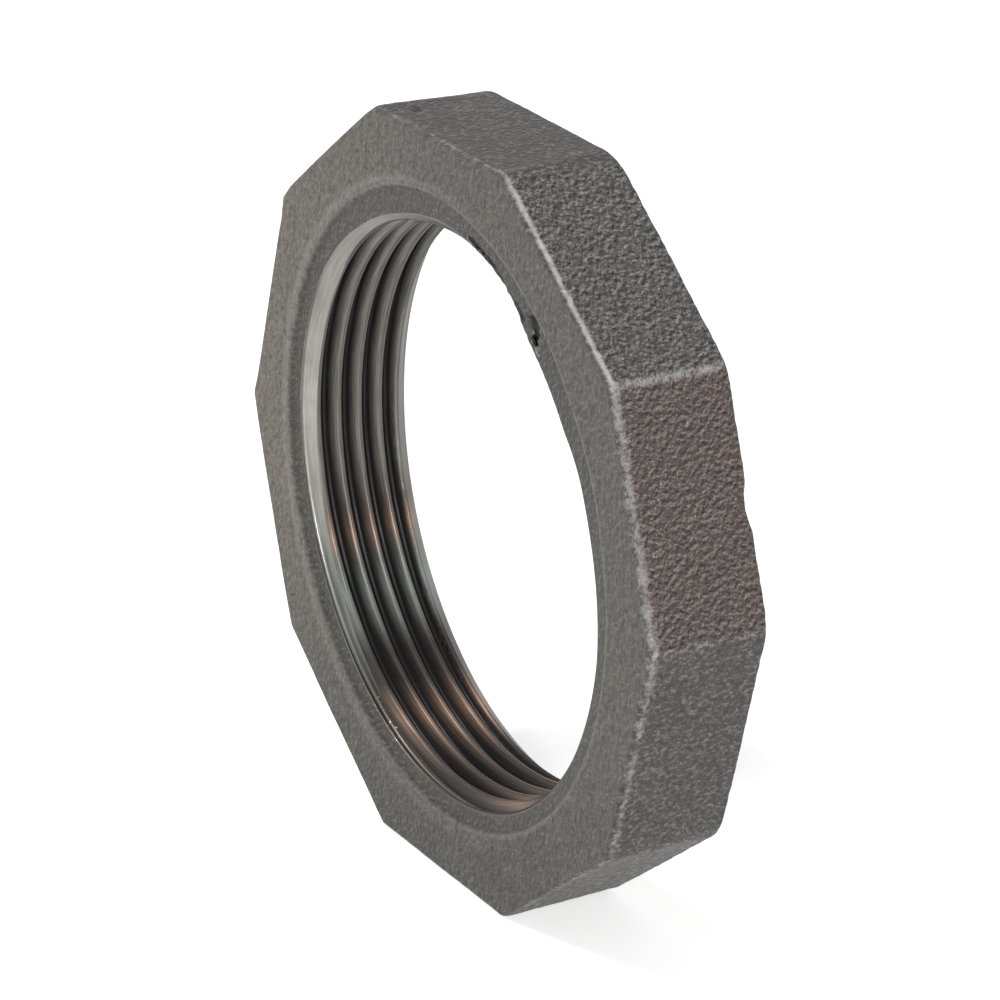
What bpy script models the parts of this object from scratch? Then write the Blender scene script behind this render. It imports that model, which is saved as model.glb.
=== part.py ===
"""Pipe locknut, size G 2 (DN 50): a ten-sided ring cast in malleable iron.

The casting is a flat ring with ten wrench flats and rounded edges. Its front face has a
shallow recess cast round the bore. The bore is machined: chamfered at both mouths and cut
with a parallel pipe thread. It is one piece and nothing on it moves.

The nut stands on one of its flats, as it stands in use on a bench. The bore runs along Y,
the recessed front face looks along -Y, and the origin is the middle of the bore at half
the thickness. Lengths are in metres and +Z is up.

Every shape is first drawn in a lathe frame, with the bore along Z and the front face up,
and is then turned to stand.
"""

import math

import bmesh
import bpy
from mathutils import Matrix, Vector

MM = 0.001

# The parallel pipe thread: a 55 degree form with rounded roots. This nut's thread winds to
# the left; with False here it winds to the right, as on a plain pipe
LEFT_HAND_THREAD = True
MAJOR_DIAMETER = 59.614 * MM
THREADS_PER_INCH = 11
FLANK_ANGLE = math.radians(27.5)
THREAD_DEPTH_IN_PITCHES = 0.640327
ROOT_RADIUS_IN_PITCHES = 0.137329
THREAD_CROSSES_MIDDLE_AT = math.radians(-45.0)

# The casting: its wall, from the thread's roots to the wrench flats, makes it 75 mm
# across flats
SIDES = 10
WALL = 7.693 * MM
THICKNESS = 12.5 * MM
EDGE_ROUNDING = 0.45 * MM

# The machined chamfers: the front one stops short of the thread's roots, and the rear
# one just clears them
FRONT_CHAMFER_WIDTH = 1.12 * MM
REAR_CHAMFER_CLEARANCE = 0.3 * MM
CHAMFER_ANGLE = math.radians(45.0)

# The recess cast round the front mouth of the bore
RECESS_WIDTH = 2.3 * MM
RECESS_DEPTH = 0.4 * MM
RECESS_WALL_DRAFT = math.radians(55.0)
RECESS_FLOOR_SLOPE = math.radians(4.0)

# How finely the round shapes are divided
BORE_SEGMENTS = 72
ROOT_SEGMENTS = 2
EDGE_SEGMENTS = 3

SHARP_ANGLE = math.radians(30.0)

# How far a cutter runs past the faces that it cuts, and how far the groove's cutter
# starts inside the empty bore, as a share of the pitch so that its turns never meet
CUTTER_OVERRUN = 2.0 * MM
GROOVE_START_IN_PITCHES = 0.1

# Points closer than this are one point
WELD_DISTANCE = 0.005 * MM

# What follows from the sizes above
INCH = 25.4 * MM
PITCH = INCH / THREADS_PER_INCH
MAJOR_RADIUS = MAJOR_DIAMETER / 2
THREAD_DEPTH = PITCH * THREAD_DEPTH_IN_PITCHES
MINOR_RADIUS = MAJOR_RADIUS - THREAD_DEPTH
PITCH_RADIUS = MAJOR_RADIUS - THREAD_DEPTH / 2
ROOT_RADIUS = PITCH * ROOT_RADIUS_IN_PITCHES
ACROSS_FLATS = MAJOR_DIAMETER + 2 * WALL
FRONT_FACE = THICKNESS / 2
REAR_FACE = -THICKNESS / 2


def clear_scene():
    """Remove whatever the open file holds."""
    for old in list(bpy.data.objects):
        bpy.data.objects.remove(old, do_unlink=True)


def make_collection(name):
    """Make a collection in the scene."""
    collection = bpy.data.collections.new(name)
    bpy.context.scene.collection.children.link(collection)
    return collection


def cast_iron():
    """Dark grey malleable iron as it leaves the foundry, with its dull scale."""
    material = bpy.data.materials.new("cast_iron")
    material.use_nodes = True
    shader = material.node_tree.nodes["Principled BSDF"]
    shader.inputs["Base Color"].default_value = (0.135, 0.122, 0.110, 1.0)
    shader.inputs["Metallic"].default_value = 0.65
    shader.inputs["Roughness"].default_value = 0.55
    return material


def stand_up(thing):
    """Turn an object from the lathe frame, so that its front face looks along -Y."""
    thing.rotation_euler = (math.radians(90.0), 0.0, 0.0)


def make_cutter(name, mesh, collection):
    """Make an object that only cuts: it is drawn as wire and is never rendered."""
    cutter = bpy.data.objects.new(name, mesh)
    collection.objects.link(cutter)
    cutter.display_type = "WIRE"
    cutter.hide_render = True
    stand_up(cutter)
    return cutter


def make_blank(collection, material):
    """Make the solid casting: a decagonal slab with one flat underneath and round edges."""
    corner_radius = ACROSS_FLATS / 2 / math.cos(math.pi / SIDES)
    mesh = bpy.data.meshes.new("locknut")
    bm = bmesh.new()
    bmesh.ops.create_cone(
        bm,
        cap_ends=True,
        segments=SIDES,
        radius1=corner_radius,
        radius2=corner_radius,
        depth=THICKNESS,
    )
    # The first corner points along +Y, so this turn brings a flat to -Y
    flat_down = Matrix.Rotation(math.pi - math.pi / SIDES, 3, "Z")
    bmesh.ops.rotate(bm, verts=bm.verts, cent=(0.0, 0.0, 0.0), matrix=flat_down)
    bm.to_mesh(mesh)
    bm.free()
    mesh.materials.append(material)

    blank = bpy.data.objects.new("locknut", mesh)
    collection.objects.link(blank)
    stand_up(blank)

    rounding = blank.modifiers.new("Cast edges", "BEVEL")
    rounding.limit_method = "NONE"
    rounding.width = EDGE_ROUNDING
    rounding.segments = EDGE_SEGMENTS
    return blank


def bore_profile():
    """List the turned profile of the bore, as (radius, height) from above the front down."""
    above = FRONT_FACE + CUTTER_OVERRUN
    below = REAR_FACE - CUTTER_OVERRUN
    wall_lean = math.tan(RECESS_WALL_DRAFT)
    floor_fall = math.tan(RECESS_FLOOR_SLOPE)
    chamfer_lean = math.tan(CHAMFER_ANGLE)

    front_mouth = MINOR_RADIUS + FRONT_CHAMFER_WIDTH
    recess_rim = front_mouth + RECESS_WIDTH
    wall_top = recess_rim + CUTTER_OVERRUN * wall_lean
    floor_edge = recess_rim - RECESS_DEPTH * wall_lean
    floor_top = FRONT_FACE - RECESS_DEPTH

    front_mouth_height = floor_top - (floor_edge - front_mouth) * floor_fall
    front_chamfer_end = front_mouth_height - (front_mouth - MINOR_RADIUS) / chamfer_lean

    rear_mouth = MAJOR_RADIUS + REAR_CHAMFER_CLEARANCE
    rear_chamfer_end = REAR_FACE + (rear_mouth - MINOR_RADIUS) / chamfer_lean
    rear_wall_end = rear_mouth + CUTTER_OVERRUN * chamfer_lean

    return [
        (0.0, above),
        (wall_top, above),
        (floor_edge, floor_top),
        (front_mouth, front_mouth_height),
        (MINOR_RADIUS, front_chamfer_end),
        (MINOR_RADIUS, rear_chamfer_end),
        (rear_wall_end, below),
        (0.0, below),
    ]


def make_bore_cutter(collection):
    """Turn the bore's profile round the axis: the recess, both chamfers and the plain hole."""
    mesh = bpy.data.meshes.new("bore_cutter")
    bm = bmesh.new()
    corners = [bm.verts.new((radius, 0.0, height)) for radius, height in bore_profile()]
    for upper, lower in zip(corners, corners[1:]):
        bm.edges.new((upper, lower))
    bm.to_mesh(mesh)
    bm.free()

    cutter = make_cutter("bore_cutter", mesh, collection)
    turning = cutter.modifiers.new("Turning", "SCREW")
    turning.axis = "Z"
    turning.angle = math.radians(360.0)
    turning.steps = BORE_SEGMENTS
    turning.render_steps = BORE_SEGMENTS
    turning.use_merge_vertices = True
    turning.merge_threshold = WELD_DISTANCE
    return cutter


def groove_half_width(radius):
    """Give half the width of the thread's groove at a radius between its flanks."""
    return PITCH / 4 + (PITCH_RADIUS - radius) * math.tan(FLANK_ANGLE)


def groove_section():
    """List the groove's section as (radius, height): two flanks and a rounded root."""
    base = MINOR_RADIUS - PITCH * GROOVE_START_IN_PITCHES
    root_centre = MAJOR_RADIUS - ROOT_RADIUS
    root_spread = math.radians(90.0) - FLANK_ANGLE
    points = [(base, -groove_half_width(base))]
    for step in range(ROOT_SEGMENTS + 1):
        angle = root_spread * (2 * step / ROOT_SEGMENTS - 1)
        radius = root_centre + ROOT_RADIUS * math.cos(angle)
        points.append((radius, ROOT_RADIUS * math.sin(angle)))
    points.append((base, groove_half_width(base)))
    return points


def make_thread_cutter(collection):
    """Wind the groove's section up a helix that runs past both faces."""
    step_angle = math.radians(360.0) / BORE_SEGMENTS
    if LEFT_HAND_THREAD:
        step_angle = -step_angle
    step_rise = PITCH / BORE_SEGMENTS
    steps_to_face = math.ceil((THICKNESS / 2 + PITCH) / step_rise)
    start_angle = THREAD_CROSSES_MIDDLE_AT - steps_to_face * step_angle
    start = Vector((0.0, 0.0, -steps_to_face * step_rise))
    turn_to_start = Matrix.Rotation(start_angle, 3, "Z")

    mesh = bpy.data.meshes.new("thread_cutter")
    bm = bmesh.new()
    corners = []
    for radius, height in groove_section():
        corners.append(bm.verts.new(turn_to_start @ Vector((radius, 0.0, height)) + start))
    section = bm.faces.new(corners)
    bmesh.ops.spin(
        bm,
        geom=[section] + list(section.edges) + list(section.verts),
        cent=(0.0, 0.0, 0.0),
        axis=(0.0, 0.0, 1.0),
        dvec=(0.0, 0.0, step_rise),
        angle=2 * steps_to_face * step_angle,
        steps=2 * steps_to_face,
    )
    bmesh.ops.recalc_face_normals(bm, faces=bm.faces)
    bm.to_mesh(mesh)
    bm.free()
    return make_cutter("thread_cutter", mesh, collection)


def cut(body, cutter, name):
    """Take the cutter's shape out of the body."""
    boolean = body.modifiers.new(name, "BOOLEAN")
    boolean.operation = "DIFFERENCE"
    boolean.solver = "EXACT"
    boolean.object = cutter


def weld_cuts(body):
    """Merge the points that the cuts left almost on top of each other."""
    weld = body.modifiers.new("Weld", "WELD")
    weld.merge_threshold = WELD_DISTANCE


def shade(body):
    """Shade the body smooth and keep its real corners sharp."""
    body.data.shade_smooth()
    body.data.set_sharp_from_angle(angle=SHARP_ANGLE)


def main():
    clear_scene()
    parts = make_collection("pipe_locknut")
    cutters = make_collection("cutters")

    locknut = make_blank(parts, cast_iron())
    cut(locknut, make_bore_cutter(cutters), "Bore, chamfers and recess")
    cut(locknut, make_thread_cutter(cutters), "Thread")
    weld_cuts(locknut)
    shade(locknut)


main()
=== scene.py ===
"""Pipe locknut, size G 2: the finish of a sand-cast, machined ring of malleable iron.

The script follows the nut as it is made: the casting's form, the recess, chamfers and thread
cut in it, the knocks it has taken, then the finish of its cast and machined faces. The floor,
lamps and camera come last. Lengths are in metres, and the bore runs along Y.
"""

import math

import bmesh
import bpy
from mathutils import Matrix, Vector, noise


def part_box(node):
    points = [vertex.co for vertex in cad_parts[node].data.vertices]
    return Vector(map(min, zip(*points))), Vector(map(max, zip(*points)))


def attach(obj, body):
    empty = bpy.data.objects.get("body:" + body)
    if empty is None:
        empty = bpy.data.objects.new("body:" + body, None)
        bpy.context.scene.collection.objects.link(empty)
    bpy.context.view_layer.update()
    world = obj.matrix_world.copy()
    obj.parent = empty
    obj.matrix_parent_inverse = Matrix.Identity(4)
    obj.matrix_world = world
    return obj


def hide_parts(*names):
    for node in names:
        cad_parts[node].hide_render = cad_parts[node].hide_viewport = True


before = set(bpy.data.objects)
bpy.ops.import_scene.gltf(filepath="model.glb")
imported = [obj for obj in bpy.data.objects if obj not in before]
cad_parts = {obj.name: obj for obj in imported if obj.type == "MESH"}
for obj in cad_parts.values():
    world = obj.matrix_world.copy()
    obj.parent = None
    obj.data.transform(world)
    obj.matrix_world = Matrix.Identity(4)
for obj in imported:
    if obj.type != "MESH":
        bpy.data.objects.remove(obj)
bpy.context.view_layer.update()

# The casting: one flat ring of malleable iron with ten wrench flats, cast in sand. It is
# first turned as a round ring from its section, and its rim is then drawn out to the flats.
MM = 0.001
lowest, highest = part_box("locknut")
FRONT = lowest[1]
REAR = highest[1]
HALF_FLATS = highest[2]
SIDES = 10
SIDE_ANGLE = math.tau / SIDES
REAR_EDGE = 0.4 * MM
# The front edge is rubbed: it falls away slowly towards the flats
FRONT_EDGE = 0.2 * MM
FRONT_EDGE_DEPTH = 0.9 * MM
# Inside this radius the ring stays round
ROUND_WITHIN = 33.0 * MM
# How many columns of faces go round the bore, how much they crowd towards the ten corners,
# and how wide the band of finer faces beside an edge is
COLUMNS = 600
COLUMN_CROWDING = 0.35
EDGE_BAND = 0.6 * MM

# The shallow recess round the bore, and the two chamfers that the lathe cuts
MINOR_RADIUS = 28.328 * MM
RECESS_RIM = 31.75 * MM
RECESS_FOOT = 31.18 * MM
RECESS_DEPTH = 0.4 * MM
FRONT_MOUTH = 29.448 * MM
FRONT_MOUTH_DEPTH = 0.521 * MM
REAR_MOUTH = 30.107 * MM
FRONT_CHAMFER_END = FRONT + FRONT_MOUTH_DEPTH + FRONT_MOUTH - MINOR_RADIUS
REAR_CHAMFER_END = REAR - (REAR_MOUTH - MINOR_RADIUS)


def line(start, end, count):
    """Points from start towards end, count of them, with the end left for the next line."""
    return [Vector(start).lerp(Vector(end), step / count) for step in range(count)]


def edge_arc(across, deep, start, count):
    """Points round a cast edge from start, count of them; deep is below 0 on the front."""
    points = []
    for step in range(count):
        angle = math.tau / 4 * step / count
        if deep < 0.0:
            offset = (across * math.sin(angle), deep * (math.cos(angle) - 1.0))
        else:
            offset = (across * (math.cos(angle) - 1.0), deep * math.sin(angle))
        points.append(Vector(start) + Vector(offset))
    return points


# The section is a chain of points from the front chamfer's end round the outside to the rear
# one's. The last number in each of its lines is how many steps the line has.
front_rim = HALF_FLATS - FRONT_EDGE
front_mouth = (FRONT_MOUTH, FRONT + FRONT_MOUTH_DEPTH)
recess_foot = (RECESS_FOOT, FRONT + RECESS_DEPTH)
flat_start = (HALF_FLATS, FRONT + FRONT_EDGE_DEPTH)
flat_middle = (HALF_FLATS, FRONT + FRONT_EDGE_DEPTH + EDGE_BAND)
flat_end = (HALF_FLATS, REAR - REAR_EDGE)
section = line((MINOR_RADIUS, FRONT_CHAMFER_END), front_mouth, 9)
section += line(front_mouth, recess_foot, 9)
section += line(recess_foot, (RECESS_RIM, FRONT), 5)
section += line((RECESS_RIM, FRONT), (RECESS_RIM + EDGE_BAND, FRONT), 3)
section += line((RECESS_RIM + EDGE_BAND, FRONT), (front_rim - EDGE_BAND, FRONT), 9)
section += line((front_rim - EDGE_BAND, FRONT), (front_rim, FRONT), 3)
section += edge_arc(FRONT_EDGE, -FRONT_EDGE_DEPTH, (front_rim, FRONT), 6)
section += line(flat_start, flat_middle, 3)
section += line(flat_middle, flat_end, 28)
section += edge_arc(REAR_EDGE, REAR_EDGE, flat_end, 4)
section += line((HALF_FLATS - REAR_EDGE, REAR), (REAR_MOUTH, REAR), 10)
section += line((REAR_MOUTH, REAR), (MINOR_RADIUS, REAR_CHAMFER_END), 9)
section += [Vector((MINOR_RADIUS, REAR_CHAMFER_END))]


def wind(name, points, rise):
    """Turn a chain of section points round Y into a ring, rising by rise in each full turn."""
    bm = bmesh.new()
    chain = [bm.verts.new((radius, depth, 0.0)) for radius, depth in points]
    links = [bm.edges.new(pair) for pair in zip(chain, chain[1:])]
    round_bore = {"cent": (0.0, 0.0, 0.0), "axis": (0.0, 1.0, 0.0)}
    bmesh.ops.spin(
        bm,
        geom=chain + links,
        dvec=(0.0, rise / COLUMNS, 0.0),
        angle=SIDE_ANGLE,
        steps=COLUMNS // SIDES,
        **round_bore,
    )
    bmesh.ops.spin(
        bm,
        geom=bm.verts[:] + bm.edges[:] + bm.faces[:],
        dvec=(0.0, rise / SIDES, 0.0),
        angle=math.tau - SIDE_ANGLE,
        steps=SIDES - 1,
        use_duplicate=True,
        **round_bore,
    )
    ring = bpy.data.meshes.new(name)
    bm.to_mesh(ring)
    bm.free()
    return ring


# The thread: a left-hand parallel pipe thread, eleven to the inch, cut after the chamfers.
# Its comb of teeth is wound once round the bore, a pitch further on at each turn.
PITCH = 25.4 * MM / 11
MAJOR_RADIUS = 29.807 * MM
PITCH_RADIUS = (MAJOR_RADIUS + MINOR_RADIUS) / 2
FLANK_ANGLE = math.radians(27.5)
FLANK_SLOPE = math.tan(FLANK_ANGLE)
ROOT_RADIUS = 0.137329 * PITCH
ROOT_HALF_WIDTH = ROOT_RADIUS * math.cos(FLANK_ANGLE)
CREST_SOFTNESS = 0.3 * MM
ROOT_CROSSES_MIDDLE_AT = math.radians(-45.0)
# Where the points of a tooth lie across a pitch, closer together round its crest
HALF_TOOTH = (0.0, 0.06, 0.122, 0.22, 0.31, 0.37, 0.41, 0.45)
TOOTH_STATIONS = HALF_TOOTH + (0.5, 0.55, 0.59, 0.63, 0.69, 0.78, 0.878, 0.94)


def soft_max(one, other, softness):
    """The larger of two radii, eased where they are nearly equal."""
    overlap = max(softness - abs(one - other), 0.0) / softness
    return max(one, other) + overlap * overlap * softness / 4


def turns_from_root(angle, depth):
    """How many turns of the thread a place is from the root that starts the count."""
    return (ROOT_CROSSES_MIDDLE_AT - angle) / math.tau + depth / PITCH


def thread_radius(angle, depth):
    """The radius that the thread's tool reaches at an angle round the bore and a depth."""
    turns = turns_from_root(angle, depth)
    from_root = abs(turns - round(turns)) * PITCH
    if from_root < ROOT_HALF_WIDTH:
        centre = MAJOR_RADIUS - ROOT_RADIUS
        return centre + math.sqrt(ROOT_RADIUS * ROOT_RADIUS - from_root * from_root)
    return PITCH_RADIUS + (PITCH / 4 - from_root) / FLANK_SLOPE


teeth = []
first_turn = math.floor(FRONT / PITCH) - 1
last_turn = math.ceil(REAR_CHAMFER_END / PITCH) + 1
start_shift = -ROOT_CROSSES_MIDDLE_AT / math.tau
for turn in range(first_turn, last_turn):
    for station in TOOTH_STATIONS:
        teeth.append((MINOR_RADIUS, (turn + station + start_shift) * PITCH))

# The nut as it came out: the chamfer runs out on one side, where the first thread is thin and
# has torn, the recess lies a little high, and flats, wear and stains differ round the nut. The
# painted light and shade on the flats, edges, corners and recess differ round it too.
# Each list of stops gives angles in degrees from +X towards +Z, with the value there.

# How much of the front chamfer is left
CHAMFER_STOPS = (
    (-180.0, 1.0),
    (-8.0, 1.0),
    (20.0, 0.4),
    (36.0, 0.0),
    (50.0, 0.0),
    (53.5, 0.05),
    (56.0, 0.2),
    (60.0, 0.42),
    (63.0, 0.7),
    (66.0, 0.92),
    (75.0, 1.0),
    (85.0, 0.95),
    (95.0, 0.78),
    (105.0, 0.52),
    (115.0, 0.56),
    (125.0, 0.7),
    (145.0, 1.0),
    (180.0, 1.0),
)
LEAST_CHAMFER = 0.04 * MM
# How ragged the chamfer's mouth is. Where the chamfer is gone, the rags stand into the bore
TORN_STOPS = (
    (-180.0, 0.0),
    (30.0, 0.0),
    (40.0, 0.3),
    (54.0, 1.0),
    (79.0, 1.0),
    (82.0, 0.0),
    (180.0, 0.0),
)
RAGGEDNESS = 0.12
RAGS_PER_RADIAN = 60.0
# Where a thin fin of metal stands in front of the first turn of the thread
FIN_STOPS = (
    (-180.0, 0.0),
    (24.0, 0.0),
    (34.0, 1.0),
    (57.0, 1.0),
    (62.0, 0.3),
    (66.0, 0.0),
    (84.0, 0.0),
    (95.0, 0.8),
    (125.0, 0.8),
    (145.0, 0.0),
    (180.0, 0.0),
)
# How dark the floor of the recess is: its own darker skin with painted shade, most from 45 to
# 78 degrees
RECESS_STOPS = (
    (-180.0, 0.9),
    (-60.0, 0.75),
    (0.0, 0.5),
    (30.0, 0.7),
    (45.0, 1.0),
    (78.0, 1.0),
    (86.0, 0.85),
    (180.0, 0.9),
)
# How much the rim of the recess is rubbed pale over a broad band outside it
RIM_BAND_STOPS = (
    (-180.0, 0.7),
    (-135.0, 0.6),
    (-90.0, 0.45),
    (-60.0, 0.2),
    (-30.0, 0.0),
    (60.0, 0.0),
    (90.0, 0.5),
    (110.0, 0.8),
    (180.0, 0.7),
)
# How much smaller and how much higher than true the recess is
RECESS_SMALLER = 0.12 * MM
RECESS_HIGHER = 0.38 * MM
# From the flat between 0 and 36 degrees on: how many millimetres too far out, how coarse and
# how brown each flat is, and how much painted light (above 1) or painted shade (below 1) it
# takes
FLAT_SHIFTS = (0.1, 0.05, -0.05, 0.2, -0.35, 0.0, -0.05, -0.1, 0.0, 0.1)
FLAT_COARSENESS = (1.0, 1.0, 0.2, 0.3, 0.3, 0.3, 0.3, 0.5, 0.5, 0.5)
FLAT_BROWNS = (1.0, 0.1, 0.6, 0.3, 0.3, 0.3, 0.3, 0.5, 0.5, 0.25)
FLAT_PAINTED_LIGHT = (1.2, 1.15, 0.5, 0.8, 0.8, 0.8, 0.8, 0.8, 0.8, 0.95)
# From the corner at 0 degrees on: how much each corner between two flats is rubbed and painted
# with a highlight, and its radius in millimetres at the back
CORNER_WEAR_AND_HIGHLIGHT = (0.6, 1.0, 0.1, 0.3, 0.3, 0.3, 0.3, 0.2, 0.2, 0.4)
FRONT_CORNER_RADIUS = 0.9 * MM
REAR_CORNER_RADII = (5.5, 5.5, 8.0, 8.0, 5.5, 5.5, 5.5, 5.5, 5.5, 5.5)
# How much the front edge is rubbed bare and painted with a highlight
EDGE_WEAR_AND_HIGHLIGHT_STOPS = (
    (-180.0, 0.2),
    (-108.0, 0.25),
    (-72.0, 0.4),
    (-36.0, 0.5),
    (0.0, 0.6),
    (33.0, 0.65),
    (38.0, 1.0),
    (68.0, 1.0),
    (76.0, 0.5),
    (100.0, 0.35),
    (180.0, 0.2),
)
# Over how many millimetres it is rubbed and painted with a highlight
EDGE_WIDTH_STOPS = (
    (-180.0, 0.45),
    (-20.0, 0.6),
    (0.0, 0.8),
    (30.0, 0.8),
    (38.0, 0.36),
    (70.0, 0.36),
    (180.0, 0.4),
)


def ease(low, high, value):
    """0 at low, 1 at high, and an S-curve between them."""
    share = min(max((value - low) / (high - low), 0.0), 1.0)
    return share * share * (3.0 - 2.0 * share)


def at_angle(stops, angle):
    """The value that a list of stops gives at an angle, on straight lines between them."""
    degrees = math.degrees(math.remainder(angle, math.tau))
    for (start, low), (end, high) in zip(stops, stops[1:]):
        if degrees <= end:
            return low + (high - low) * (degrees - start) / (end - start)
    return stops[-1][1]


def reach(angle, corner_radius):
    """The distance from the axis to the decagon's outline, whose corners are rounded."""
    half = SIDE_ANGLE / 2
    from_corner = (angle + half) % SIDE_ANGLE - half
    from_flat = half - abs(from_corner)
    straight = (HALF_FLATS - corner_radius) * math.tan(half)
    if from_flat < math.atan2(straight, HALF_FLATS):
        return HALF_FLATS / math.cos(from_flat)
    centre = (HALF_FLATS - corner_radius) / math.cos(half)
    across = centre * math.sin(from_corner)
    return centre * math.cos(from_corner) + math.sqrt(corner_radius**2 - across**2)


def flat_shift(angle):
    """How far the flat at an angle stands out from true, blended across the corners."""
    turn = angle / SIDE_ANGLE
    flat = math.floor(turn)
    along = turn - flat
    neighbour = flat + 1 if along > 0.5 else flat - 1
    here = FLAT_SHIFTS[flat % SIDES]
    there = FLAT_SHIFTS[neighbour % SIDES]
    return (here + 0.5 * ease(0.4, 0.5, abs(along - 0.5)) * (there - here)) * MM


def front_place(radius, depth, angle):
    """Move a point of the true recess or chamfer to where this nut's own lie."""
    share = at_angle(CHAMFER_STOPS, angle)
    rags = noise.noise(Vector((angle * RAGS_PER_RADIAN, 3.0, 0.0)))
    share += RAGGEDNESS * rags * at_angle(TORN_STOPS, angle)
    shift = RECESS_HIGHER * math.sin(angle) - RECESS_SMALLER
    mouth = MINOR_RADIUS + (FRONT_MOUTH - MINOR_RADIUS) * share
    mouth_depth = FRONT + RECESS_DEPTH + (FRONT_MOUTH_DEPTH - RECESS_DEPTH) * max(share, 0.0)
    foot = RECESS_FOOT + shift
    if radius <= FRONT_MOUTH:
        along = (radius - MINOR_RADIUS) / (FRONT_MOUTH - MINOR_RADIUS)
        end = mouth_depth + abs(mouth - MINOR_RADIUS) + LEAST_CHAMFER
        return MINOR_RADIUS + along * (mouth - MINOR_RADIUS), end + along * (mouth_depth - end)
    if radius <= RECESS_FOOT:
        along = (radius - FRONT_MOUTH) / (RECESS_FOOT - FRONT_MOUTH)
        fall = FRONT + RECESS_DEPTH - mouth_depth
        return mouth + along * (foot - mouth), mouth_depth + along * fall
    if radius <= RECESS_RIM:
        along = (radius - RECESS_FOOT) / (RECESS_RIM - RECESS_FOOT)
        left = 1.0 - ease(0.0, 1.0, along)
        return foot + along * (RECESS_RIM + shift - foot), FRONT + RECESS_DEPTH * left
    return radius + shift * ease(ROUND_WITHIN, RECESS_RIM, radius), depth


bm = bmesh.new()
bm.from_mesh(wind("turned", section, 0.0))
turned_count = len(bm.verts)
bm.from_mesh(wind("thread", teeth, -PITCH))
bm.verts.ensure_lookup_table()
marks = ("edge", "corner", "recess", "rim", "groove")
layers = {name: bm.verts.layers.float.new(name) for name in marks}
layers["winding"] = bm.verts.layers.float_vector.new("winding")
# The tool's winding runs once round a circle in each turn, and the circle is a pitch long
LAP = PITCH / math.tau
# The comb's points that lie this far in front of the thread's start close the back of the fin
FIN_BACK = 2.0 * MM
# The recess is darkened, as its own skin and as painted shade, from just outside its rim. A
# pale line follows the rim, and a pale band lies further out. Their widths and the band's
# middle are in millimetres
DARK_BEYOND_RIM = 0.1 * MM
RIM_LINE = 0.6
RIM_LINE_WIDTH = 0.32
RIM_BAND_MIDDLE = 0.7
RIM_BAND_WIDTH = 0.6
# How far behind the front face the rubbed edge, with its painted highlight, is barest, how wide
# a rubbed corner with its painted highlight is, and how far behind the front face it starts
EDGE_MIDDLE = 0.55 * MM
CORNER_FADE = 0.6 * MM
FACE_FADE = 0.3 * MM
WELD_DISTANCE = 0.002 * MM
for index, point in enumerate(bm.verts):
    column = round(math.atan2(point.co.z, point.co.x) / math.tau * COLUMNS)
    angle = math.tau * column / COLUMNS
    angle -= COLUMN_CROWDING * math.sin(SIDES * angle) / SIDES
    radius = math.hypot(point.co.x, point.co.z)
    depth = point.co.y
    point[layers["winding"]] = (radius, depth, 0.0)
    fin = at_angle(FIN_STOPS, angle) if depth < 0.0 else 0.0
    if index >= turned_count:
        front_end = front_place(MINOR_RADIUS, FRONT_CHAMFER_END, angle)[1]
        depth = min(max(depth, front_end), REAR_CHAMFER_END)
        turned = math.tau * turns_from_root(angle, depth)
        point[layers["winding"]] = (LAP * math.cos(turned), LAP * math.sin(turned), 0.0)
        fin = at_angle(FIN_STOPS, angle) if point.co.y < front_end - FIN_BACK else 0.0
    elif depth < 0.0 and radius < ROUND_WITHIN:
        dark = ease(RECESS_RIM + DARK_BEYOND_RIM, RECESS_FOOT, radius)
        point[layers["recess"]] = dark * at_angle(RECESS_STOPS, angle)
        beyond = (radius - RECESS_RIM) / MM
        band = math.exp(-(((beyond - RIM_BAND_MIDDLE) / RIM_BAND_WIDTH) ** 2))
        band *= at_angle(RIM_BAND_STOPS, angle)
        rim_line = RIM_LINE * math.exp(-((beyond / RIM_LINE_WIDTH) ** 2))
        point[layers["rim"]] = max(rim_line, band)
        radius, depth = front_place(radius, depth, angle)
    if radius > ROUND_WITHIN:
        share = (radius - ROUND_WITHIN) / (HALF_FLATS - ROUND_WITHIN)
        corner = round(angle / SIDE_ANGLE)
        to_rear = ease(FRONT, REAR, depth)
        rear_radius = REAR_CORNER_RADII[corner % SIDES] * MM
        corner_radius = FRONT_CORNER_RADIUS + to_rear * (rear_radius - FRONT_CORNER_RADIUS)
        # The edge and corner marks hold rubbed wear and a painted highlight
        off_edge = abs(depth - FRONT - EDGE_MIDDLE) + max(front_rim - radius, 0.0)
        off_edge /= at_angle(EDGE_WIDTH_STOPS, angle) * MM
        if depth < 0.0:
            edge_bared_and_lit = at_angle(EDGE_WEAR_AND_HIGHLIGHT_STOPS, angle)
            point[layers["edge"]] = math.exp(-(off_edge**2)) * edge_bared_and_lit
        off_corner = abs(angle - corner * SIDE_ANGLE) * HALF_FLATS / CORNER_FADE
        corner_worn_and_lit = CORNER_WEAR_AND_HIGHLIGHT[corner % SIDES] * ease(FRONT, FRONT + FACE_FADE, depth)
        corner_worn_and_lit *= ease(REAR, REAR - REAR_EDGE, depth)
        point[layers["corner"]] = math.exp(-(off_corner**2)) * corner_worn_and_lit
        outline = reach(angle, corner_radius) + flat_shift(angle)
        radius = ROUND_WITHIN + share * (outline - ROUND_WITHIN)
    elif radius < RECESS_FOOT:
        cut = soft_max(radius, thread_radius(angle, depth), CREST_SOFTNESS)
        cut += fin * (radius - cut)
        point[layers["groove"]] = (cut - radius) / (MAJOR_RADIUS - MINOR_RADIUS)
        radius = cut
    point.co = (radius * math.cos(angle), depth, radius * math.sin(angle))
bmesh.ops.remove_doubles(bm, verts=bm.verts, dist=WELD_DISTANCE)
bmesh.ops.recalc_face_normals(bm, faces=bm.faces)

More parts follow.
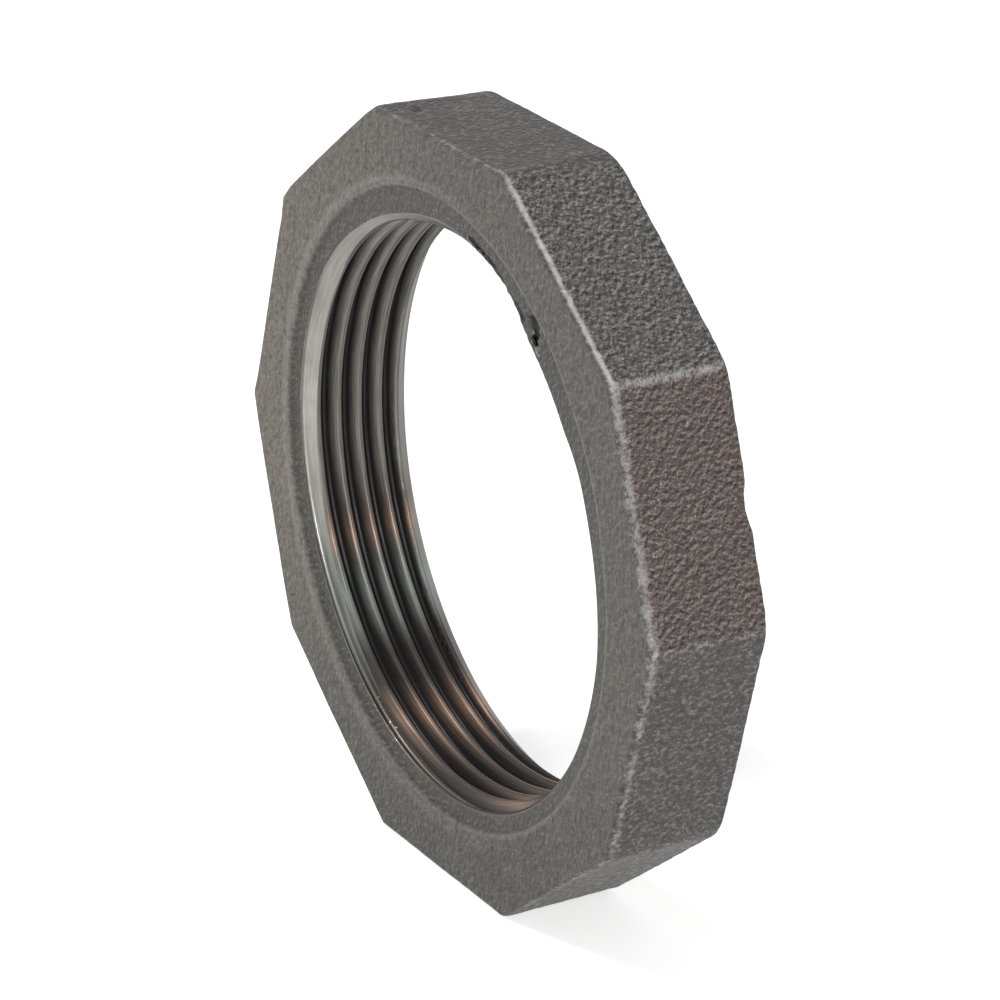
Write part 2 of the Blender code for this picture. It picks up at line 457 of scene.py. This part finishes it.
# The sand's mark: the skin is lumpy from the mould, most of all on the two flats that took
# the coarse sand, and it has a few knocks. Machined faces stay true.
LUMP_SIZE = 1.1 * MM
LUMP_HEIGHT = 0.02 * MM
COARSE_LUMP_HEIGHT = 0.055 * MM
WAVE_SIZE = 7.0 * MM
WAVE_HEIGHT = 0.05 * MM
EDGE_WOBBLE_SIZE = 1.7 * MM
EDGE_WOBBLE = 0.1 * MM
# A flat's own marks start this far inside its plane and are whole at the second distance, and
# the cast floor of the recess is smooth this far inside its foot
FLAT_FADE_START = 0.7 * MM
FLAT_FADE_END = 0.1 * MM
FLOOR_FADE = 0.8 * MM
# For each knock: where it is, how wide and how deep
DENTS = (
    (Vector((35.6, 6.1, 10.8)) * MM, 2.6 * MM, 0.38 * MM),
    (Vector((-9.3, -3.1, 37.5)) * MM, 0.9 * MM, 0.3 * MM),
    (Vector((34.5, -6.1, 19.6)) * MM, 0.35 * MM, 0.2 * MM),
)
# For each tear: degrees round the bore, distance from its axis, length round it, width and
# depth, all four in millimetres
TEARS = (
    (78.6, 29.85, 0.8, 0.4, 0.12),
    (77.0, 29.75, 1.3, 0.5, 0.16),
    (74.6, 29.65, 1.5, 0.5, 0.18),
    (71.8, 29.6, 1.4, 0.5, 0.18),
    (69.0, 29.55, 1.4, 0.45, 0.16),
    (66.4, 29.45, 1.0, 0.4, 0.12),
    (62.6, 29.3, 0.8, 0.35, 0.12),
    (58.8, 29.3, 0.9, 0.45, 0.2),
    (55.0, 30.6, 0.5, 0.5, 0.15),
    (54.2, 30.5, 0.7, 0.55, 0.25),
    (53.2, 30.35, 0.4, 0.45, 0.25),
    (52.3, 30.0, 0.35, 0.5, 0.25),
    (52.3, 29.3, 0.5, 0.5, 0.25),
    (49.6, 28.8, 0.7, 0.4, 0.15),
)
# A tear is ragged round its outline, by this share and with rags this long, and past this
# many times its size it leaves no mark
TEAR_RAGGEDNESS = 0.5
TEAR_RAG = 0.5 * MM
TEAR_REACH = 2.0


def tear_depth(place, tear):
    """How deep a tear is at a place, as a share of its full depth."""
    degrees, radius, length, width, deep = tear
    angle = math.radians(degrees)
    outwards = Vector((math.cos(angle), 0.0, math.sin(angle)))
    away = place - outwards * radius * MM
    away.y = place.y - FRONT - RECESS_DEPTH
    along = abs(away.x * outwards.z - away.z * outwards.x) / length
    across = math.hypot(away.dot(outwards), away.y) / width
    share = math.hypot(along, across) / MM
    if share > TEAR_REACH:
        return 0.0
    share *= 1.0 + TEAR_RAGGEDNESS * noise.noise(place / TEAR_RAG)
    return 1.0 - ease(0.6, 1.3, share)


for name in ("coarse", "brown", "tone", "torn"):
    layers[name] = bm.verts.layers.float.new(name)
bm.normal_update()
moves = []
for point in bm.verts:
    radius = math.hypot(point.co.x, point.co.z)
    angle = math.atan2(point.co.z, point.co.x)
    flat = math.floor(angle / SIDE_ANGLE) % SIDES
    outwards = radius * math.cos(math.remainder(angle - SIDE_ANGLE / 2, SIDE_ANGLE))
    on_flats = ease(HALF_FLATS - FLAT_FADE_START, HALF_FLATS - FLAT_FADE_END, outwards)
    on_flats *= ease(FRONT + FACE_FADE, FRONT + FRONT_EDGE_DEPTH, point.co.y)
    coarse = on_flats * FLAT_COARSENESS[flat]
    point[layers["coarse"]] = coarse
    point[layers["brown"]] = on_flats * FLAT_BROWNS[flat]
    point[layers["tone"]] = 1.0 + on_flats * (FLAT_PAINTED_LIGHT[flat] - 1.0)
    is_cast = ease(RECESS_FOOT - FLOOR_FADE, RECESS_FOOT, radius)
    lump = noise.fractal(point.co / LUMP_SIZE, 1.0, 2.0, 3)
    wave = noise.noise(point.co / WAVE_SIZE)
    wobble = noise.noise(point.co / EDGE_WOBBLE_SIZE) * point[layers["edge"]]
    height = lump * (LUMP_HEIGHT + COARSE_LUMP_HEIGHT * coarse)
    height += wave * WAVE_HEIGHT + wobble * EDGE_WOBBLE
    height *= is_cast
    for place, width, deep in DENTS:
        height -= deep * (1.0 - ease(0.1, 1.1, (point.co - place).length / width))
    if point.co.y < 0.0 and FRONT_MOUTH - MM < radius < RECESS_FOOT and point.co.z > 0.0:
        for tear in TEARS:
            dip = tear_depth(point.co, tear)
            height -= tear[-1] * MM * dip
            point[layers["torn"]] = max(point[layers["torn"]], dip)
    moves.append(point.normal * height)
for point, move in zip(bm.verts, moves):
    point.co += move

casting_mesh = bpy.data.meshes.new("locknut_casting")
bm.to_mesh(casting_mesh)
bm.free()
casting_mesh.shade_smooth()
casting = bpy.data.objects.new("locknut_casting", casting_mesh)
bpy.context.scene.collection.objects.link(casting)
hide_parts("locknut")
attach(casting, "root")

# The finishes: sand-cast skin, a satin turned chamfer and a dark oiled thread. The skin is a
# brown-grey oxide, and the tools have bared the iron in the bore.
OXIDE_GLOSS = 0.35


class Finish:
    """One of the nut's finishes: a material, with its roughness and how metallic it is."""

    def __init__(self, name, roughness, metallic):
        self.material = bpy.data.materials.new(name)
        self.material.use_nodes = True
        self.tree = self.material.node_tree
        self.shader = self.tree.nodes["Principled BSDF"]
        self.shader.inputs["Roughness"].default_value = roughness
        self.shader.inputs["Metallic"].default_value = metallic
        self.shader.inputs["Specular IOR Level"].default_value = OXIDE_GLOSS
        casting_mesh.materials.append(self.material)

    def lay(self, socket, value):
        """Feed one of the shader's sockets."""
        self.tree.links.new(value, self.shader.inputs[socket])

    def bump(self, height, distance):
        """Raise the surface by a height of 0 to 1 times a distance in metres."""
        bump = self.tree.nodes.new("ShaderNodeBump")
        bump.inputs["Distance"].default_value = distance
        self.tree.links.new(height, bump.inputs["Height"])
        self.lay("Normal", bump.outputs["Normal"])


def feed(tree, socket, value):
    """Set a socket to a plain value, or link it where the value is another node's output."""
    if isinstance(value, bpy.types.NodeSocket):
        tree.links.new(value, socket)
    else:
        socket.default_value = value


def place_noise(tree, size, detail=2.0, roughness=0.5, shift=(0.0, 0.0, 0.0)):
    """Noise of a size in metres on the nut's own coordinates, read a little way off."""
    coordinates = tree.nodes.new("ShaderNodeTexCoord")
    shifted = tree.nodes.new("ShaderNodeVectorMath")
    shifted.inputs[1].default_value = shift
    texture = tree.nodes.new("ShaderNodeTexNoise")
    texture.inputs["Scale"].default_value = 1.0 / size
    texture.inputs["Detail"].default_value = detail
    texture.inputs["Roughness"].default_value = roughness
    tree.links.new(coordinates.outputs["Object"], shifted.inputs[0])
    tree.links.new(shifted.outputs[0], texture.inputs["Vector"])
    return texture.outputs["Fac"]


def spread(tree, value, low, high, to_low=0.0, to_high=1.0):
    """Stretch the range low to high of a value over to_low to to_high, clamped."""
    stretched = tree.nodes.new("ShaderNodeMapRange")
    feed(tree, stretched.inputs["Value"], value)
    stretched.inputs["From Min"].default_value = low
    stretched.inputs["From Max"].default_value = high
    stretched.inputs["To Min"].default_value = to_low
    stretched.inputs["To Max"].default_value = to_high
    return stretched.outputs["Result"]


def sums(tree, operation, one, other, third=0.0):
    """One step of arithmetic between values."""
    step = tree.nodes.new("ShaderNodeMath")
    step.operation = operation
    feed(tree, step.inputs[0], one)
    feed(tree, step.inputs[1], other)
    feed(tree, step.inputs[2], third)
    return step.outputs[0]


def tint(tree, share, one, other, blend="MIX"):
    """Mix two colours by a share, on the node's own sockets for colours."""
    mix = tree.nodes.new("ShaderNodeMix")
    mix.data_type = "RGBA"
    mix.blend_type = blend
    feed(tree, mix.inputs[0], share)
    feed(tree, mix.inputs[6], one)
    feed(tree, mix.inputs[7], other)
    return mix.outputs[2]


def mark(tree, name):
    """A value that the mesh carries from the shaping of the nut."""
    attribute = tree.nodes.new("ShaderNodeAttribute")
    attribute.attribute_name = name
    return attribute.outputs["Fac"]


def place_along(tree, axis):
    """The nut's own coordinate along X, Y or Z, in metres."""
    coordinates = tree.nodes.new("ShaderNodeTexCoord")
    parts = tree.nodes.new("ShaderNodeSeparateXYZ")
    tree.links.new(coordinates.outputs["Object"], parts.inputs[0])
    return parts.outputs[axis]


def peak(tree, value, middle, reach_to):
    """1 where a value is at middle, falling to 0 at reach_to on either side."""
    off = sums(tree, "ABSOLUTE", sums(tree, "SUBTRACT", value, middle), 0.0)
    return spread(tree, off, reach_to, 0.0)


def make_group(name, inputs, outputs):
    """Start a shared effect with named float inputs and outputs."""
    group = bpy.data.node_groups.new(name, "ShaderNodeTree")
    for socket, value in inputs.items():
        made = group.interface.new_socket(socket, in_out="INPUT", socket_type="NodeSocketFloat")
        made.default_value = value
    for socket in outputs:
        group.interface.new_socket(socket, in_out="OUTPUT", socket_type="NodeSocketFloat")
    return group, group.nodes.new("NodeGroupInput"), group.nodes.new("NodeGroupOutput")


def lay_group(tree, group, **values):
    """Place a shared effect in a material with its own values, and return its outputs."""
    placed = tree.nodes.new("ShaderNodeGroup")
    placed.node_tree = group
    for socket, value in values.items():
        feed(tree, placed.inputs[socket], value)
    return placed.outputs


# Sand grain: rounded grains about half a millimetre across, with painted highlights on their
# upper sides, painted shade below them and a few painted glints. It is stronger where the sand
# was coarse.
GRAIN_SIZE = 0.5 * MM
GLINT_SIZE = 0.3 * MM
GRAIN_HEIGHT = 0.5 * MM
# Painted light falls from this offset: each grain is lit or shaded by how it differs from the
# grain this far off
TOWARDS_PAINTED_LIGHT = (-0.06 * MM, 0.0, 0.11 * MM)
FINE_SAND_STRENGTH = 0.25
grain_values = ("Height", "Shade", "PaintedHighlight", "PaintedGlints")
grain_group, grain_in, grain_out = make_group("sand_grain_and_painted_light", {"Coarseness": 0.0}, grain_values)
grain = place_noise(grain_group, GRAIN_SIZE, 1.5)
above = place_noise(grain_group, GRAIN_SIZE, 1.5, shift=TOWARDS_PAINTED_LIGHT)
rise = sums(grain_group, "SUBTRACT", grain, above)
coarseness = grain_in.outputs["Coarseness"]
strength = spread(grain_group, coarseness, 0.0, 1.0, FINE_SAND_STRENGTH, 1.0)
glint_noise = place_noise(grain_group, GLINT_SIZE, 1.0)
# Painted shade below each grain, a painted highlight on its upper side, and painted glints
whole_strength = {
    "Height": grain,
    "Shade": spread(grain_group, rise, -0.01, -0.14),
    "PaintedHighlight": spread(grain_group, rise, 0.01, 0.15),
    "PaintedGlints": spread(grain_group, glint_noise, 0.68, 0.84),
}
for socket, value in whole_strength.items():
    weakened = sums(grain_group, "MULTIPLY", value, strength)
    grain_group.links.new(weakened, grain_out.inputs[socket])

# Tool marks, for the chamfers and the thread: fine lines that follow the tool round the bore
LINE_LENGTH = 4.0 * MM
LATHE_LINE = 0.09 * MM
LATHE_LINE_DEPTH = 0.01 * MM
COMB_LINE = 0.1 * MM
COMB_LINE_DEPTH = 0.02 * MM
tool_group, tool_in, tool_out = make_group("tool_marks", {"Width": COMB_LINE}, ("Lines",))
winding = tool_group.nodes.new("ShaderNodeAttribute")
winding.attribute_name = "winding"
across = tool_group.nodes.new("ShaderNodeVectorMath")
across.operation = "SCALE"
tool_group.links.new(winding.outputs["Vector"], across.inputs[0])
lines_per_metre = sums(tool_group, "DIVIDE", 1.0, tool_in.outputs["Width"])
tool_group.links.new(lines_per_metre, across.inputs["Scale"])
along = tool_group.nodes.new("ShaderNodeVectorMath")
along.operation = "SCALE"
along.inputs["Scale"].default_value = 1.0 / LINE_LENGTH
on_nut = tool_group.nodes.new("ShaderNodeTexCoord")
tool_group.links.new(on_nut.outputs["Object"], along.inputs[0])
together = tool_group.nodes.new("ShaderNodeVectorMath")
tool_group.links.new(across.outputs[0], together.inputs[0])
tool_group.links.new(along.outputs[0], together.inputs[1])
scored = tool_group.nodes.new("ShaderNodeTexNoise")
scored.inputs["Scale"].default_value = 1.0
scored.inputs["Detail"].default_value = 2.0
tool_group.links.new(together.outputs[0], scored.inputs["Vector"])
tool_group.links.new(scored.outputs["Fac"], tool_out.inputs["Lines"])

# Sand-cast skin: warm dark grey, browner and coarser on some flats, its edges and corners
# partly rubbed pale and partly painted with highlights.
# The front face has painted light towards the left and painted shade low down.
FACE_GREY = (0.068, 0.062, 0.053, 1.0)
LEFT_PAINTED_LIGHT = (0.122, 0.106, 0.085, 1.0)
LOW_PAINTED_SHADE = (0.036, 0.031, 0.024, 1.0)
MOSSY_GREY = (0.075, 0.074, 0.052, 1.0)
FLAT_GREY = (0.078, 0.075, 0.072, 1.0)
FLAT_BROWN = (0.080, 0.062, 0.057, 1.0)
RECESS_SKIN_AND_SHADE = (0.030, 0.027, 0.023, 1.0)
GRAIN_SHADE = (0.020, 0.017, 0.016, 1.0)
GRAIN_HIGHLIGHT_GREY = (0.27, 0.26, 0.25, 1.0)
GRAIN_HIGHLIGHT_BROWN = (0.30, 0.235, 0.215, 1.0)
GLINT_GREY = (0.50, 0.49, 0.46, 1.0)
GLINT_BROWN = (0.52, 0.42, 0.38, 1.0)
RUBBED_RIM = (0.30, 0.285, 0.26, 1.0)
RUBBED_EDGE_AND_HIGHLIGHT = (0.56, 0.53, 0.51, 1.0)
RUBBED_CORNER_AND_HIGHLIGHT = (0.46, 0.45, 0.43, 1.0)
TORN_PIT_SHADE = (0.006, 0.006, 0.006, 1.0)
MOSSY_PATCH = 2.5 * MM
MOTTLE_SIZE = 0.9 * MM
RAG_SIZE = 0.9 * MM
cast_skin = Finish("cast_skin", 0.5, 0.0)
tree = cast_skin.tree
grain_and_painted_light = lay_group(tree, grain_group, Coarseness=mark(tree, "coarse"))
# Painted light towards the left of the front face, and painted shade low down
painted_light_to_left = spread(tree, place_along(tree, "X"), 0.0, -34.0 * MM)
face_tone = tint(tree, painted_light_to_left, FACE_GREY, LEFT_PAINTED_LIGHT)
lower = spread(tree, place_along(tree, "Z"), -10.0 * MM, -34.0 * MM)
face_tone = tint(tree, lower, face_tone, LOW_PAINTED_SHADE)
mossy = spread(tree, place_noise(tree, MOSSY_PATCH, 3.0, 0.6), 0.4, 0.62, 0.0, 0.5)
face_tone = tint(tree, mossy, face_tone, MOSSY_GREY)
mottle = spread(tree, place_noise(tree, MOTTLE_SIZE, 5.0, 0.8), 0.36, 0.64, 0.45, 1.6)
face_tone = tint(tree, 1.0, face_tone, mottle, "MULTIPLY")
flat_tone = tint(tree, mark(tree, "brown"), FLAT_GREY, FLAT_BROWN)
skin = tint(tree, spread(tree, mark(tree, "coarse"), 0.02, 0.15), face_tone, flat_tone)
# Each flat's painted light (factor above 1) and painted shade (factor below 1)
skin = tint(tree, 1.0, skin, mark(tree, "tone"), "MULTIPLY")
# The recess floor: its own darker skin, with painted shade
recess_darkening = sums(tree, "MULTIPLY", mark(tree, "recess"), 0.85)
skin = tint(tree, recess_darkening, skin, RECESS_SKIN_AND_SHADE)
# Painted shade below the grains, painted highlights on their upper sides and painted glints
skin = tint(tree, grain_and_painted_light["Shade"], skin, GRAIN_SHADE)
grain_highlight = tint(tree, mark(tree, "brown"), GRAIN_HIGHLIGHT_GREY, GRAIN_HIGHLIGHT_BROWN)
skin = tint(tree, grain_and_painted_light["PaintedHighlight"], skin, grain_highlight)
glint = tint(tree, mark(tree, "brown"), GLINT_GREY, GLINT_BROWN)
skin = tint(tree, grain_and_painted_light["PaintedGlints"], skin, glint)
ragged = sums(tree, "SUBTRACT", place_noise(tree, RAG_SIZE, 5.0, 0.85), 0.5)
rubbed_rim = sums(tree, "MULTIPLY_ADD", ragged, 0.8, mark(tree, "rim"))
rubbed_rim = spread(tree, rubbed_rim, 0.2, 1.0, 0.0, 0.5)
skin = tint(tree, rubbed_rim, skin, RUBBED_RIM)
# Edges and corners: rubbed pale, with a painted highlight along them
edge_wear_and_highlight = sums(tree, "MULTIPLY_ADD", ragged, 2.2, mark(tree, "edge"))
edge_wear_and_highlight = spread(tree, edge_wear_and_highlight, 0.35, 1.15, 0.0, 0.95)
skin = tint(tree, edge_wear_and_highlight, skin, RUBBED_EDGE_AND_HIGHLIGHT)
corner_wear_and_highlight = sums(tree, "MULTIPLY_ADD", ragged, 3.2, mark(tree, "corner"))
corner_wear_and_highlight = spread(tree, corner_wear_and_highlight, 0.5, 1.3, 0.0, 0.9)
skin = tint(tree, corner_wear_and_highlight, skin, RUBBED_CORNER_AND_HIGHLIGHT)
# Painted shade: the torn pits are painted near black
torn = spread(tree, sums(tree, "MULTIPLY_ADD", ragged, 0.6, mark(tree, "torn")), 0.25, 0.5)
skin = tint(tree, torn, skin, TORN_PIT_SHADE)
cast_skin.lay("Base Color", skin)
cast_skin.lay("Roughness", spread(tree, grain_and_painted_light["PaintedHighlight"], 0.0, 1.0, 0.5, 0.3))
cast_skin.bump(grain_and_painted_light["Height"], GRAIN_HEIGHT)

# Turned chamfer: bare satin iron with the lathe's fine rings, dull at the top, with a greenish
# painted reflection lower down, darker at the bottom, and a few painted bright specks near it
DULL_IRON = (0.30, 0.29, 0.26, 1.0)
BRIGHT_IRON = (0.39, 0.38, 0.352, 1.0)
HIGH_IRON = (0.21, 0.195, 0.178, 1.0)
LOW_REFLECTION_IRON = (0.245, 0.255, 0.235, 1.0)
LOWEST_IRON = (0.12, 0.108, 0.092, 1.0)
PAINTED_SPARK = (0.75, 0.63, 0.52, 1.0)
PAINTED_SPARK_SIZE = 0.35 * MM
STAIN_SIZE = 5.0 * MM
turned_iron = Finish("turned_iron", 0.36, 1.0)
tree = turned_iron.tree
upwards = place_along(tree, "Z")
lines = lay_group(tree, tool_group, Width=LATHE_LINE)["Lines"]
stain = spread(tree, place_noise(tree, STAIN_SIZE, 3.0, 0.6), 0.35, 0.65)
bright = tint(tree, stain, DULL_IRON, BRIGHT_IRON)
high = spread(tree, upwards, 3.0 * MM, 20.0 * MM, 0.0, 0.65)
bright = tint(tree, high, bright, HIGH_IRON)
# A greenish painted reflection lower down
lower = spread(tree, upwards, -4.0 * MM, -14.0 * MM)
bright = tint(tree, lower, bright, LOW_REFLECTION_IRON)
lowest_part = spread(tree, upwards, -20.0 * MM, -26.0 * MM)
bright = tint(tree, lowest_part, bright, LOWEST_IRON)
# A few painted bright specks near the bottom
painted_sparks = spread(tree, place_noise(tree, PAINTED_SPARK_SIZE, 1.0), 0.68, 0.74)
painted_spark_band = peak(tree, upwards, -26.5 * MM, 3.0 * MM)
bright = tint(tree, sums(tree, "MULTIPLY", painted_sparks, painted_spark_band), bright, PAINTED_SPARK)
bright = tint(tree, 1.0, bright, spread(tree, lines, 0.3, 0.7, 0.8, 1.15), "MULTIPLY")
# Painted shade: the torn pits are painted near black
bright = tint(tree, spread(tree, mark(tree, "torn"), 0.2, 0.7), bright, TORN_PIT_SHADE)
turned_iron.lay("Base Color", bright)
turned_iron.bump(lines, LATHE_LINE_DEPTH)

# Cut thread: streaked grey flanks, dull crests and dark roots, partly oil and partly painted
# shade; darker lower down, with a greenish painted reflection and painted bronze highlights at
# two heights in the lower half of the bore
CREST_GREY = (0.15, 0.14, 0.125, 1.0)
FLANK_GREY = (0.25, 0.238, 0.218, 1.0)
LOWER_BROWN = (0.10, 0.088, 0.080, 1.0)
GREENISH_REFLECTION = (0.20, 0.22, 0.20, 1.0)
LOWEST_BROWN = (0.055, 0.047, 0.042, 1.0)
BRONZE_HIGHLIGHT = (0.34, 0.225, 0.17, 1.0)
ROOT_OIL_AND_SHADE = (0.030, 0.028, 0.028, 1.0)
cut_thread = Finish("cut_thread", 0.42, 0.7)
tree = cut_thread.tree
upwards = place_along(tree, "Z")
lines = lay_group(tree, tool_group, Width=COMB_LINE)["Lines"]
flank = spread(tree, mark(tree, "groove"), 0.02, 0.2)
oil_and_painted_light = tint(tree, flank, CREST_GREY, FLANK_GREY)
lower = spread(tree, upwards, -6.0 * MM, -10.0 * MM)
oil_and_painted_light = tint(tree, lower, oil_and_painted_light, LOWER_BROWN)
# A greenish painted reflection in the lower half of the bore
greenish_reflection = peak(tree, upwards, -17.0 * MM, 5.5 * MM)
oil_and_painted_light = tint(tree, greenish_reflection, oil_and_painted_light, GREENISH_REFLECTION)
lowest_part = spread(tree, upwards, -19.5 * MM, -22.0 * MM)
oil_and_painted_light = tint(tree, lowest_part, oil_and_painted_light, LOWEST_BROWN)
# Painted bronze highlights at two heights
upper_highlight = peak(tree, upwards, -11.8 * MM, 2.6 * MM)
lower_highlight = peak(tree, upwards, -26.3 * MM, 2.4 * MM)
bronze_highlights = sums(tree, "ADD", upper_highlight, lower_highlight)
oil_and_painted_light = tint(tree, sums(tree, "MULTIPLY", bronze_highlights, 0.6), oil_and_painted_light, BRONZE_HIGHLIGHT)
# Dark roots: oil, with painted shade
root = spread(tree, mark(tree, "groove"), 0.3, 0.78)
oil_and_painted_light = tint(tree, root, oil_and_painted_light, ROOT_OIL_AND_SHADE)
oil_and_painted_light = tint(tree, 1.0, oil_and_painted_light, spread(tree, lines, 0.3, 0.7, 0.7, 1.3), "MULTIPLY")
# Painted shade: the torn pits are painted near black
oil_and_painted_light = tint(tree, spread(tree, mark(tree, "torn"), 0.3, 0.5), oil_and_painted_light, TORN_PIT_SHADE)
cut_thread.lay("Base Color", oil_and_painted_light)
cut_thread.bump(lines, COMB_LINE_DEPTH)

# Each face takes its finish: the thread's behind the end of the front chamfer, on the rear
# chamfer too, bare iron where enough of the front chamfer is left, and skin everywhere else
SKIN, TURNED, CUT = range(3)
LEAST_SHARE = 0.3
LOOKING_AHEAD = 0.9
TINY = 0.001 * MM
for face in casting_mesh.polygons:
    middle = face.center
    radius = math.hypot(middle.x, middle.z)
    angle = math.atan2(middle.z, middle.x)
    front_end = front_place(MINOR_RADIUS, FRONT_CHAMFER_END, angle)[1]
    if radius > REAR_MOUTH or middle.y > REAR - TINY:
        face.material_index = SKIN
    elif middle.y > front_end:
        face.material_index = CUT
    elif -face.normal.y > LOOKING_AHEAD or at_angle(CHAMFER_STOPS, angle) < LEAST_SHARE:
        face.material_index = SKIN
    else:
        face.material_index = TURNED

# The floor: a plain white sheet that the nut stands on. It adds a little light of its own
# to what the camera and the metal see, so that it shows as white and keeps the shadow.
FLOOR_SIZE = 8.0
FLOOR_GLOW = 0.56
bm = bmesh.new()
bmesh.ops.create_grid(bm, x_segments=1, y_segments=1, size=FLOOR_SIZE / 2)
bmesh.ops.translate(bm, verts=bm.verts, vec=(0.0, 0.0, lowest[2]))
floor_mesh = bpy.data.meshes.new("floor")
bm.to_mesh(floor_mesh)
bm.free()
floor = bpy.data.objects.new("floor", floor_mesh)
bpy.context.scene.collection.objects.link(floor)

floor_white = bpy.data.materials.new("floor_white")
floor_white.use_nodes = True
nodes = floor_white.node_tree.nodes
links = floor_white.node_tree.links
floor_shader = nodes["Principled BSDF"]
floor_shader.inputs["Base Color"].default_value = (0.88, 0.88, 0.88, 1.0)
floor_shader.inputs["Roughness"].default_value = 0.9
floor_shader.inputs["Specular IOR Level"].default_value = 0.0
floor_shader.inputs["Emission Color"].default_value = (1.0, 1.0, 1.0, 1.0)
rays = nodes.new("ShaderNodeLightPath")
seen = nodes.new("ShaderNodeMath")
seen.operation = "MAXIMUM"
links.new(rays.outputs["Is Camera Ray"], seen.inputs[0])
links.new(rays.outputs["Is Glossy Ray"], seen.inputs[1])
glow = nodes.new("ShaderNodeMath")
glow.operation = "MULTIPLY"
glow.inputs[1].default_value = FLOOR_GLOW
links.new(seen.outputs[0], glow.inputs[0])
links.new(glow.outputs[0], floor_shader.inputs["Emission Strength"])
floor_mesh.materials.append(floor_white)

# The light: a white room with one soft lamp behind the camera and one high up, in front of
# the nut and to its left.
ROOM_LIGHT = 0.42
world = bpy.data.worlds.new("studio")
bpy.context.scene.world = world
world.use_nodes = True
nodes = world.node_tree.nodes
links = world.node_tree.links
room = nodes["Background"]
room.inputs["Color"].default_value = (1.0, 1.0, 1.0, 1.0)
rays = nodes.new("ShaderNodeLightPath")
seen = nodes.new("ShaderNodeMath")
seen.operation = "MAXIMUM"
links.new(rays.outputs["Is Camera Ray"], seen.inputs[0])
links.new(rays.outputs["Is Glossy Ray"], seen.inputs[1])
level = nodes.new("ShaderNodeMapRange")
level.inputs["To Min"].default_value = ROOM_LIGHT
level.inputs["To Max"].default_value = 1.0
links.new(seen.outputs[0], level.inputs["Value"])
links.new(level.outputs["Result"], room.inputs["Strength"])


def soft_lamp(name, place, size, power):
    """Hang a square softbox at a place, turned to shine at the nut."""
    lamp_data = bpy.data.lights.new(name, "AREA")
    lamp_data.shape = "SQUARE"
    lamp_data.size = size
    lamp_data.energy = power
    lamp = bpy.data.objects.new(name, lamp_data)
    lamp.location = place
    lamp.rotation_euler = (-Vector(place)).to_track_quat("-Z", "Y").to_euler()
    bpy.context.scene.collection.objects.link(lamp)


LAMP_SIZE = 0.25
soft_lamp("front_lamp", (1.01, -0.71, 0.45), LAMP_SIZE, 8.3)
soft_lamp("high_lamp", (-0.42, -0.62, 1.06), LAMP_SIZE, 5.9)

# The camera: its place, aim and lens were fitted to the ten corners in the photograph.
CAMERA_PLACE = (398.57 * MM, -222.13 * MM, 180.66 * MM)
CAMERA_AIM = (0.11 * MM, 0.45 * MM, 0.31 * MM)
CAMERA_ROLL = math.radians(-0.19)
LENS = 184.1
camera_data = bpy.data.cameras.new("camera")
camera_data.lens = LENS
camera_data.sensor_width = 36.0
camera_data.clip_start = 0.01
camera = bpy.data.objects.new("camera", camera_data)
camera.location = CAMERA_PLACE
look = (Vector(CAMERA_AIM) - Vector(CAMERA_PLACE)).to_track_quat("-Z", "Y")
camera.rotation_euler = (look.to_matrix() @ Matrix.Rotation(CAMERA_ROLL, 3, "Z")).to_euler()
bpy.context.scene.collection.objects.link(camera)
bpy.context.scene.camera = camera
bpy.context.scene.view_settings.view_transform = "Standard"
